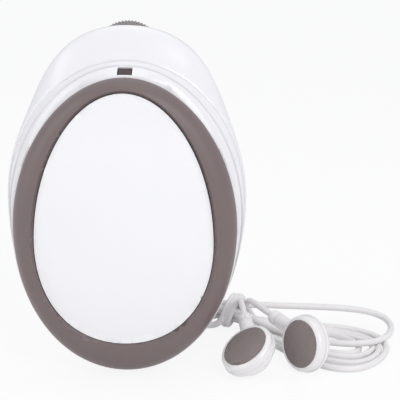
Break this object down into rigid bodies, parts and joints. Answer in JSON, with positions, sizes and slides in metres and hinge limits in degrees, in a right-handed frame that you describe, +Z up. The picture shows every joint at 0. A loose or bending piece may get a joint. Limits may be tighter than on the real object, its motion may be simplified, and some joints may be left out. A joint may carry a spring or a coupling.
{
  "type": "fetal doppler monitor",
  "caption": "Egg-shaped handheld fetal doppler monitor with a domed front plate, ringed trim, thumb wheel, rear probe and a pair of wired earphones.",
  "frame": {"origin": "middle of the monitor, on the surface it stands on, without the earphones", "axes": "+X to the right seen from the front, +Y to the back where the probe is, +Z up to the thumb wheel"},
  "size_m": [0.122, 0.0715, 0.1051],
  "materials": {
    "white_gloss": "smooth gloss white moulding",
    "plate_gloss": "high gloss white plate",
    "taupe_satin": "satin taupe",
    "window_dark": "dark red infrared-type window",
    "led_red": "tinted epoxy",
    "wheel_grey": "satin grey moulding",
    "steel": "zinc-plated",
    "board_green": "solder resist",
    "chip_black": "moulded epoxy",
    "aluminium": "bare can",
    "black_plastic": "matt black moulding",
    "seal_rubber": "soft seal",
    "lens_taupe": "smooth probe face",
    "ceramic": "piezo ceramic",
    "foam": "dense backing foam",
    "battery_dark": "painted can, plain",
    "nickel": "nickel-plated contact",
    "white_soft": "soft white moulding",
    "cord_white": "soft white jacket",
    "pad_taupe": "fine speaker cloth"
  },
  "bodies": {
    "housing": {"front_shell": "white_gloss", "rear_shell": "white_gloss", "front_plate": "plate_gloss", "trim_ring": "taupe_satin", "led_window": "window_dark", "led": "led_red", "volume_pot": "steel", "volume_board": "board_green", "circuit_board": "board_green", "processor_chip": "chip_black", "amplifier_chip": "chip_black", "capacitors": "aluminium", "crystal_can": "aluminium", "inductors": "chip_black", "housing_screws": "steel", "board_screws": "steel", "inner_screws": "steel", "probe_cup": "white_soft", "probe_gasket": "seal_rubber", "probe_lens": "lens_taupe", "probe_crystals": "ceramic", "probe_backing": "foam", "probe_clamp": "black_plastic", "battery": "battery_dark", "battery_terminals": "nickel", "battery_snap": "black_plastic", "earphone_jack_right": "black_plastic", "earphone_jack_left": "black_plastic", "jack_board": "board_green"},
    "volume": {"volume_wheel": "wheel_grey", "volume_shaft": "steel", "wheel_screw": "steel"},
    "door": {"battery_door": "white_gloss"},
    "earphones": {"plug_contacts": "nickel", "plug_insulators": "black_plastic", "plug_head": "white_soft", "plug_strain_relief": "cord_white", "lead_cord": "cord_white", "cord_hank_right": "cord_white", "cord_hank_left": "cord_white", "hank_wrap": "cord_white", "cord_splitter": "white_soft", "left_bud_shell": "white_soft", "left_bud_bezel": "white_soft", "left_bud_pad": "pad_taupe", "left_bud_driver": "steel", "left_bud_relief": "cord_white", "left_branch_cord": "cord_white", "right_bud_shell": "white_soft", "right_bud_bezel": "white_soft", "right_bud_pad": "pad_taupe", "right_bud_driver": "steel", "right_bud_relief": "cord_white", "right_branch_cord": "cord_white"}
  },
  "joints": [
    {"name": "volume_turn", "type": "hinge", "parent": "housing", "child": "volume", "pos_m": [0, 0.0021, 0.0945], "axis": [0, 1, 0], "range_deg": [0, 270]},
    {"name": "battery_door_hinge", "type": "hinge", "parent": "housing", "child": "door", "pos_m": [0, 0.0223, 0.0528], "axis": [-1, 0, 0], "range_deg": [0, 90]},
    {"name": "earphone_unplug", "type": "slide", "parent": "housing", "child": "earphones", "axis": [1, 0, 0], "range_m": [0, 0.015]}
  ]
}
